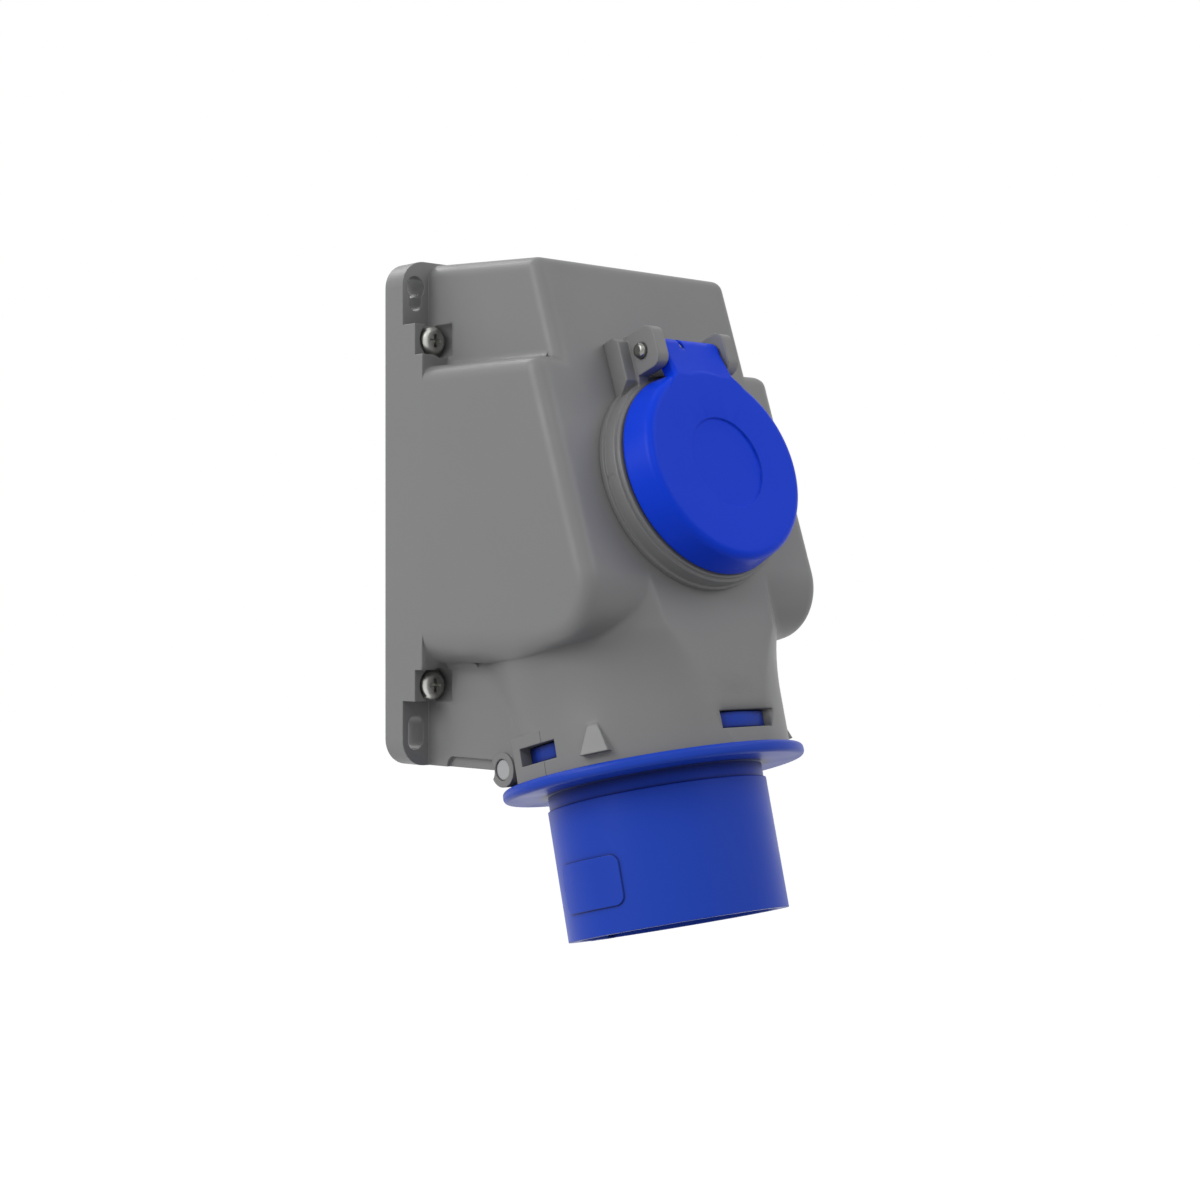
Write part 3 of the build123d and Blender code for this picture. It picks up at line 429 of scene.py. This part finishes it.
# Moulded polyamide housing: neutral grey, satin, its edges rounded by the tool; the grain is about a
# third of a millimetre, drawn at twice that so that it shows
GREY_POLYAMIDE = MouldedPlastic(
    "moulded_grey_polyamide", "#868686", "#828283", 0.42, 0.7, 0.02, 0.5, edge_mm=0.6
)
# The same plastic on the housing, with the soft runs between its large faces
HOUSING_POLYAMIDE = BlendedPlastic(
    "blended_grey_polyamide", "#868686", "#828283", 0.42, 0.7, 0.02, 0.5, edge_mm=0.4
)
# Moulded polyamide of the lid: strong signal blue, satin
LID_POLYAMIDE = MouldedPlastic(
    "moulded_lid_polyamide", "#0b43ec", "#0b41e6", 0.38, 0.6, 0.014, 0.12, edge_mm=0.5
)
# The inlet's blue is set darker than the lid's as painted shade for its down-facing shroud, and the hooks in
# their windows get painted shade too
INLET_POLYAMIDE = RecessShadePlastic(
    "moulded_inlet_polyamide", "#234bc8", "#224ac3", 0.38, 0.6, 0.014, 0.16, edge_mm=0.4
)
# Thermoset of the socket and its cover: paler grey, smoother
PALE_POLYCARBONATE = MouldedPlastic("moulded_pale_polycarbonate", "#a8a9aa", "#a2a3a5", 0.36, 0.5, 0.015)
# Turned plastic pins across the neck: nearly white, satin
WHITE_POLYAMIDE = MouldedPlastic("turned_white_polyamide", "#bcbdbe", "#b7b8ba", 0.4, 0.5, 0.012, edge_mm=0.3)
# Glass-filled carrier of the pins: near black and dull
BLACK_POLYAMIDE = MouldedPlastic("moulded_black_polyamide", "#1c1c1e", "#232325", 0.52, 0.6, 0.03)
# Seals: cured rubber, dull and almost black
EPDM_RUBBER = MouldedPlastic("cured_epdm_rubber", "#161616", "#1e1e1d", 0.74, 0.5, 0.02)
# Zinc-plated steel of screws, hinge pin and spring: grey with soft reflections
ZINC_STEEL = WorkedMetal("zinc_plated_steel", "#cacac6", "#b8b8b3", 0.34, 0.5, 0.01, Lay.TURNED)
# Bare steel of the hinge pin: darker than the plated screws, drawn smooth
DRAWN_STEEL = WorkedMetal("drawn_steel", "#8e8e8b", "#7e7e7b", 0.26, 0.4, 0.006, Lay.DRAWN)
# Nickel-plated brass of the pins: pale, smooth, drawn along the pin
NICKEL_BRASS = WorkedMetal("nickel_plated_brass", "#d2ccbd", "#c6bfae", 0.22, 0.4, 0.006, Lay.DRAWN)
# Bare brass of the socket sleeves: warm yellow, drawn lines along the sleeve
BARE_BRASS = WorkedMetal("bare_brass", "#d8b46a", "#c89f55", 0.28, 0.4, 0.008, Lay.DRAWN)
# PVC sleeves of the leads: smooth and slightly glossy
BROWN_PVC = MouldedPlastic("extruded_brown_pvc", "#5a3320", "#52301e", 0.4, 0.8, 0.01)
BLUE_PVC = MouldedPlastic("extruded_blue_pvc", "#2b5fb4", "#2a5aab", 0.4, 0.8, 0.01)
EARTH_PVC = StripedSleeve("extruded_earth_pvc", "#2f8f3a", "#d8cf2a", 0.35)

Finish = MouldedPlastic | WorkedMetal | StripedSleeve


@dataclass
class FinishShelf:
    """Keeps each finish once it is built, so that every piece made of it shares one material."""

    built: dict[str, bpy.types.Material] = field(default_factory=dict)

    def take(self, finish: Finish) -> bpy.types.Material:
        """Returns the finish's material, built on first use."""
        if finish.name not in self.built:
            self.built[finish.name] = finish.build()
        return self.built[finish.name]

    def dress(self, pieces: tuple[str, ...], finish: Finish) -> None:
        """Gives carried-over CAD nodes their finish.

        Args:
            pieces: Names of the nodes.
            finish: What they are made of.
        """
        for piece in pieces:
            mesh = frame["nodes"][piece].data
            mesh.materials.clear()
            mesh.materials.append(self.take(finish))
            log.info("%s: %s", piece, finish.name)


def faces_facing(mesh: bpy.types.Mesh, axis: Vector, limit: float = 0.99) -> None:
    """Selects the faces of a mesh in edit mode that look along an axis, and nothing else.

    Args:
        mesh: Mesh that is being edited.
        axis: Direction that the faces look in.
        limit: Smallest cosine that counts.
    """
    bpy.ops.mesh.select_all(action="DESELECT")
    bpy.ops.object.mode_set(mode="OBJECT")
    for face in mesh.polygons:
        face.select = face.normal.dot(axis) > limit
    bpy.ops.object.mode_set(mode="EDIT")


@dataclass
class WallBox:
    """Housing, back plate and seal, and the four pan-head screws that hold them together."""

    shelf: FinishShelf
    head_r_mm: float = 3.4
    head_t_mm: float = 2.4
    shank_r_mm: float = 1.9
    dome_mm: float = 1.5
    recess_len_mm: float = 4.3
    recess_w_mm: float = 1.0
    recess_depth_mm: float = 1.5
    recess_taper: float = 0.45
    ring_edges: int = 48
    dome_steps: int = 6
    tip_mm: float = 0.3
    tip_steps: int = 2
    smooth_deg: float = 35.0

    def head(self, front: float, length: float) -> bpy.types.Object:
        """Shapes one screw on the Y axis: a domed pan head with a plain shank behind it.

        Args:
            front: Y of the head's front, in metres.
            length: Whole length of the screw, in metres.

        Returns:
            The screw without its recess.
        """
        bpy.ops.object.select_all(action="DESELECT")
        bpy.ops.mesh.primitive_cylinder_add(
            vertices=self.ring_edges,
            radius=self.head_r_mm * MM,
            depth=self.head_t_mm * MM,
            location=(0, front + self.head_t_mm / 2 * MM, 0),
            rotation=(math.pi / 2, 0, 0),
        )
        screw = bpy.context.active_object
        bpy.ops.object.transform_apply(location=True, rotation=True, scale=True)
        bpy.ops.object.mode_set(mode="EDIT")
        bpy.ops.mesh.select_mode(type="FACE")
        faces_facing(screw.data, Vector((0, -1, 0)))
        bpy.ops.mesh.bevel(offset=self.dome_mm * MM, segments=self.dome_steps, affect="EDGES")
        faces_facing(screw.data, Vector((0, 1, 0)))
        bpy.ops.mesh.inset(thickness=(self.head_r_mm - self.shank_r_mm) * MM)
        bpy.ops.mesh.extrude_region_move(
            TRANSFORM_OT_translate={"value": (0, length - self.head_t_mm * MM, 0)}
        )
        bpy.ops.mesh.bevel(offset=self.tip_mm * MM, segments=self.tip_steps, affect="EDGES")
        bpy.ops.object.mode_set(mode="OBJECT")
        return screw

    def cross_recess(self, screw: bpy.types.Object, front: float) -> None:
        """Cuts the cross recess, whose two slots narrow towards their floor.

        Args:
            screw: Screw on the Y axis.
            front: Y of the head's front, in metres.
        """
        for length, width in (
            (self.recess_len_mm, self.recess_w_mm),
            (self.recess_w_mm, self.recess_len_mm),
        ):
            bpy.ops.object.select_all(action="DESELECT")
            bpy.ops.mesh.primitive_cube_add(size=1, location=(0, front, 0))
            cutter = bpy.context.active_object
            cutter.scale = Vector((length, 2 * self.recess_depth_mm, width)) * MM
            bpy.ops.object.transform_apply(location=True, rotation=True, scale=True)
            bpy.ops.object.mode_set(mode="EDIT")
            bpy.ops.mesh.select_mode(type="FACE")
            faces_facing(cutter.data, Vector((0, 1, 0)))
            bpy.ops.transform.resize(value=(self.recess_taper, 1, self.recess_taper))
            bpy.ops.object.mode_set(mode="OBJECT")
            bpy.ops.object.select_all(action="DESELECT")
            screw.select_set(True)
            bpy.context.view_layer.objects.active = screw
            slot = screw.modifiers.new("slot", "BOOLEAN")
            slot.operation = "DIFFERENCE"
            slot.solver = "EXACT"
            slot.object = cutter
            bpy.ops.object.modifier_apply(modifier="slot")
            bpy.data.objects.remove(cutter)

    def screws(self) -> None:
        """Makes one screw and sets a copy of it, with its own mesh, at each corner of the box."""
        low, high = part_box("housing_screws")
        across = high[0] - self.head_r_mm * MM
        middle = (high[2] + low[2]) / 2
        up = (high[2] - low[2]) / 2 - self.head_r_mm * MM
        pattern = self.head(low[1], high[1] - low[1])
        self.cross_recess(pattern, low[1])
        bpy.ops.object.shade_smooth_by_angle(angle=math.radians(self.smooth_deg))
        pattern.data.materials.append(self.shelf.take(ZINC_STEEL))
        places = [(x, z) for x in (-across, across) for z in (middle - up, middle + up)]
        for index, (x, z) in enumerate(places):
            screw = bpy.data.objects.new(f"pan_head_screw_{index + 1}", pattern.data.copy())
            bpy.context.scene.collection.objects.link(screw)
            bpy.ops.object.select_all(action="DESELECT")
            screw.location = (x, 0, z)
            screw.select_set(True)
            bpy.context.view_layer.objects.active = screw
            bpy.ops.object.transform_apply(location=True, rotation=True, scale=True)
            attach(screw, "base")
            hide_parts("housing_screws")
            log.info("%s: %s", screw.name, ZINC_STEEL.name)
        bpy.data.objects.remove(pattern)

    def build(self) -> None:
        """Dresses the box and makes its screws."""
        self.shelf.dress(("housing",), HOUSING_POLYAMIDE)
        self.shelf.dress(("back_plate",), GREY_POLYAMIDE)
        self.shelf.dress(("back_gasket",), EPDM_RUBBER)
        self.screws()


@dataclass
class LidAssembly:
    """Ring with the hinge ears on the sloping face, and the sprung blue lid with its seal."""

    shelf: FinishShelf
    slot_x_mm: float = -2.75
    slot_w_mm: float = 1.2
    slot_r_mm: float = 3.3
    slot_edges: int = 64
    merge_mm: float = 0.001
    smooth_deg: float = 30.0
    flat_weight: int = 100

    def slotted_lid(self) -> None:
        """Copies the lid and cuts the slot in its knuckles that clears the spring's leg as it opens."""
        hinge = frame["record"]["behaviour"]["joints"][0]["pos_m"]
        bpy.ops.object.select_all(action="DESELECT")
        bpy.ops.mesh.primitive_cylinder_add(
            vertices=self.slot_edges,
            radius=self.slot_r_mm * MM,
            depth=self.slot_w_mm * MM,
            location=(self.slot_x_mm * MM, hinge[1], hinge[2]),
            rotation=(0, math.pi / 2, 0),
        )
        cutter = bpy.context.active_object
        lid = bpy.data.objects.new("slotted_lid", frame["nodes"]["lid"].data.copy())
        bpy.context.scene.collection.objects.link(lid)
        bpy.ops.object.select_all(action="DESELECT")
        lid.select_set(True)
        bpy.context.view_layer.objects.active = lid
        bpy.ops.object.mode_set(mode="EDIT")
        bpy.ops.mesh.select_all(action="SELECT")
        bpy.ops.mesh.remove_doubles(threshold=self.merge_mm * MM)
        bpy.ops.object.mode_set(mode="OBJECT")
        slot = lid.modifiers.new("leg_slot", "BOOLEAN")
        slot.operation = "DIFFERENCE"
        slot.solver = "EXACT"
        slot.object = cutter
        bpy.ops.object.modifier_apply(modifier="leg_slot")
        bpy.data.objects.remove(cutter)
        bpy.ops.object.shade_smooth_by_angle(angle=math.radians(self.smooth_deg))
        level = lid.modifiers.new("level_faces", "WEIGHTED_NORMAL")
        level.keep_sharp = True
        level.weight = self.flat_weight
        bpy.ops.object.modifier_apply(modifier="level_faces")
        lid.data.materials.clear()
        lid.data.materials.append(self.shelf.take(LID_POLYAMIDE))
        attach(lid, "lid")
        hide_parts("lid")
        log.info("%s: %s", lid.name, LID_POLYAMIDE.name)

    def build(self) -> None:
        """Dresses the ring and the hinge, and makes the lid."""
        self.shelf.dress(("lid_frame",), GREY_POLYAMIDE)
        self.slotted_lid()
        self.shelf.dress(("lid_seal",), EPDM_RUBBER)
        self.shelf.dress(("hinge_pin",), DRAWN_STEEL)
        self.shelf.dress(("lid_spring",), ZINC_STEEL)


@dataclass
class SocketOutlet:
    """Well, sleeves, earth strip and rear cover of the outlet behind the lid."""

    shelf: FinishShelf

    def build(self) -> None:
        """Dresses the outlet."""
        self.shelf.dress(("socket_body", "socket_cover"), PALE_POLYCARBONATE)
        self.shelf.dress(("contact_line", "contact_neutral"), BARE_BRASS)
        self.shelf.dress(("earth_contact",), NICKEL_BRASS)
        self.shelf.dress(("cover_screws", "socket_screws"), ZINC_STEEL)


@dataclass
class InletAssembly:
    """Slanted inlet below the box: shroud, seal, cross pins, carrier and contact pins."""

    shelf: FinishShelf

    def build(self) -> None:
        """Dresses the inlet."""
        self.shelf.dress(("inlet_body",), INLET_POLYAMIDE)
        self.shelf.dress(("inlet_seal",), EPDM_RUBBER)
        self.shelf.dress(("retaining_pins",), WHITE_POLYAMIDE)
        self.shelf.dress(("pin_carrier",), BLACK_POLYAMIDE)
        self.shelf.dress(("pin_line", "pin_neutral", "pin_earth"), NICKEL_BRASS)
        self.shelf.dress(("terminal_screws",), ZINC_STEEL)


@dataclass
class Leads:
    """Three single leads from the inlet's terminals up to the outlet."""

    shelf: FinishShelf

    def build(self) -> None:
        """Dresses each lead in the colour of its conductor."""
        self.shelf.dress(("lead_line",), BROWN_PVC)
        self.shelf.dress(("lead_neutral",), BLUE_PVC)
        self.shelf.dress(("lead_earth",), EARTH_PVC)


@dataclass(frozen=True)
class SoftBox:
    """One square studio lamp."""

    name: str
    place: tuple[float, float, float]
    size: float
    power: float

    def hang(self, aim: Vector) -> None:
        """Hangs the lamp at its place and turns it to the part.

        Args:
            aim: Point that it looks at, in metres.
        """
        data = bpy.data.lights.new(self.name, "AREA")
        data.energy = self.power
        data.size = self.size
        lamp = bpy.data.objects.new(self.name, data)
        bpy.context.scene.collection.objects.link(lamp)
        lamp.location = self.place
        lamp.rotation_mode = "QUATERNION"
        lamp.rotation_quaternion = (aim - Vector(self.place)).to_track_quat("-Z", "Y")


@dataclass
class Studio:
    """White studio: pale floor well below the box, white background, soft lamps on the left and above."""

    azimuth: float = 42.0
    eye_mm: tuple[float, float, float] = (-321.76, -390.43, -19.90)
    lens: float = 62.45
    sensor: float = 36.0
    floor_z_mm: float = -330.0
    floor_size_mm: float = 9000.0
    ambient: float = 0.42
    aim_mm: tuple[float, float, float] = (0.0, -30.0, -10.0)
    lamps: tuple[SoftBox, ...] = (
        SoftBox("left_soft_box", (-1.4, 0.3, 0.7), 0.9, 10.3),
        SoftBox("front_soft_box", (0.5, -1.1, 1.0), 1.1, 4.9),
        SoftBox("rear_top_soft_box", (-0.15, 1.0, 1.0), 0.5, 3.6),
        SoftBox("key_soft_box", (-1.0, -1.1, 1.05), 0.35, 1.9),
    )

    def camera(self) -> bpy.types.Object:
        """Places the camera where the photograph was taken.

        Returns:
            The camera object.
        """
        turn = math.radians(self.azimuth)
        data = bpy.data.cameras.new("camera")
        data.lens = self.lens
        data.sensor_width = self.sensor
        data.clip_start = 0.01
        camera = bpy.data.objects.new("camera", data)
        bpy.context.scene.collection.objects.link(camera)
        camera.location = Vector(self.eye_mm) * MM
        ahead = Vector((math.sin(turn), math.cos(turn), 0.0))
        camera.rotation_mode = "QUATERNION"
        camera.rotation_quaternion = ahead.to_track_quat("-Z", "Y")
        bpy.context.scene.camera = camera
        return camera

    def seen(self, tree: bpy.types.NodeTree) -> bpy.types.NodeSocket:
        """Tells what is looked at, directly, in gloss or through glass, from what only lights the part.

        Args:
            tree: Node tree of the floor or the surround.

        Returns:
            One for a ray that looks, zero for one that lights.
        """
        path = add_node(tree, "ShaderNodeLightPath")
        gloss = add_node(
            tree,
            "ShaderNodeMath",
            settings={"operation": "MAXIMUM"},
            links={0: path.outputs["Is Camera Ray"], 1: path.outputs["Is Glossy Ray"]},
        )
        either = add_node(
            tree,
            "ShaderNodeMath",
            settings={"operation": "MAXIMUM"},
            links={0: gloss.outputs["Value"], 1: path.outputs["Is Transmission Ray"]},
        )
        return either.outputs["Value"]

    def floor(self) -> None:
        """Lays a pale floor that shows white to the camera and keeps the shadow."""
        bpy.ops.object.select_all(action="DESELECT")
        bpy.ops.mesh.primitive_plane_add(size=self.floor_size_mm * MM, location=(0, 0, self.floor_z_mm * MM))
        floor = bpy.context.active_object
        floor.name = "studio_floor"
        material, tree, _ = new_material("pale_floor_paint")
        diffuse = add_node(tree, "ShaderNodeBsdfDiffuse", sockets={"Color": linear("#a6a6a6")})
        glow = add_node(tree, "ShaderNodeEmission", sockets={"Color": linear("#ffffff"), "Strength": 0.85})
        both = add_node(
            tree,
            "ShaderNodeAddShader",
            links={0: diffuse.outputs["BSDF"], 1: glow.outputs["Emission"]},
        )
        mix = add_node(
            tree,
            "ShaderNodeMixShader",
            links={0: self.seen(tree), 1: diffuse.outputs["BSDF"], 2: both.outputs["Shader"]},
        )
        add_node(tree, "ShaderNodeOutputMaterial", links={"Surface": mix.outputs["Shader"]})
        floor.data.materials.append(material)

    def world(self) -> None:
        """Sets a plain white surround that lights softly and shows white behind the box."""
        world = bpy.data.worlds.new("studio_world")
        bpy.context.scene.world = world
        world.use_nodes = True
        tree = world.node_tree
        tree.nodes.clear()
        soft = add_node(
            tree, "ShaderNodeBackground", sockets={"Color": linear("#ffffff"), "Strength": self.ambient}
        )
        white = add_node(tree, "ShaderNodeBackground", sockets={"Color": linear("#ffffff"), "Strength": 1.0})
        mix = add_node(
            tree,
            "ShaderNodeMixShader",
            links={0: self.seen(tree), 1: soft.outputs["Background"], 2: white.outputs["Background"]},
        )
        add_node(tree, "ShaderNodeOutputWorld", links={"Surface": mix.outputs["Shader"]})

    def build(self) -> None:
        """Builds camera, floor, surround and lamps."""
        self.camera()
        self.floor()
        self.world()
        for lamp in self.lamps:
            lamp.hang(Vector(self.aim_mm) * MM)
        bpy.context.scene.view_settings.view_transform = "Standard"
        log.info("studio: camera, floor, surround and %d lamps", len(self.lamps))


def main() -> None:
    """Builds the sub-assemblies and the studio in order."""
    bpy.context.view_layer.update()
    shelf = FinishShelf()
    WallBox(shelf).build()
    LidAssembly(shelf).build()
    SocketOutlet(shelf).build()
    InletAssembly(shelf).build()
    Leads(shelf).build()
    Studio().build()


if __name__ == "__main__":
    logging.basicConfig(level=logging.INFO)
    main()
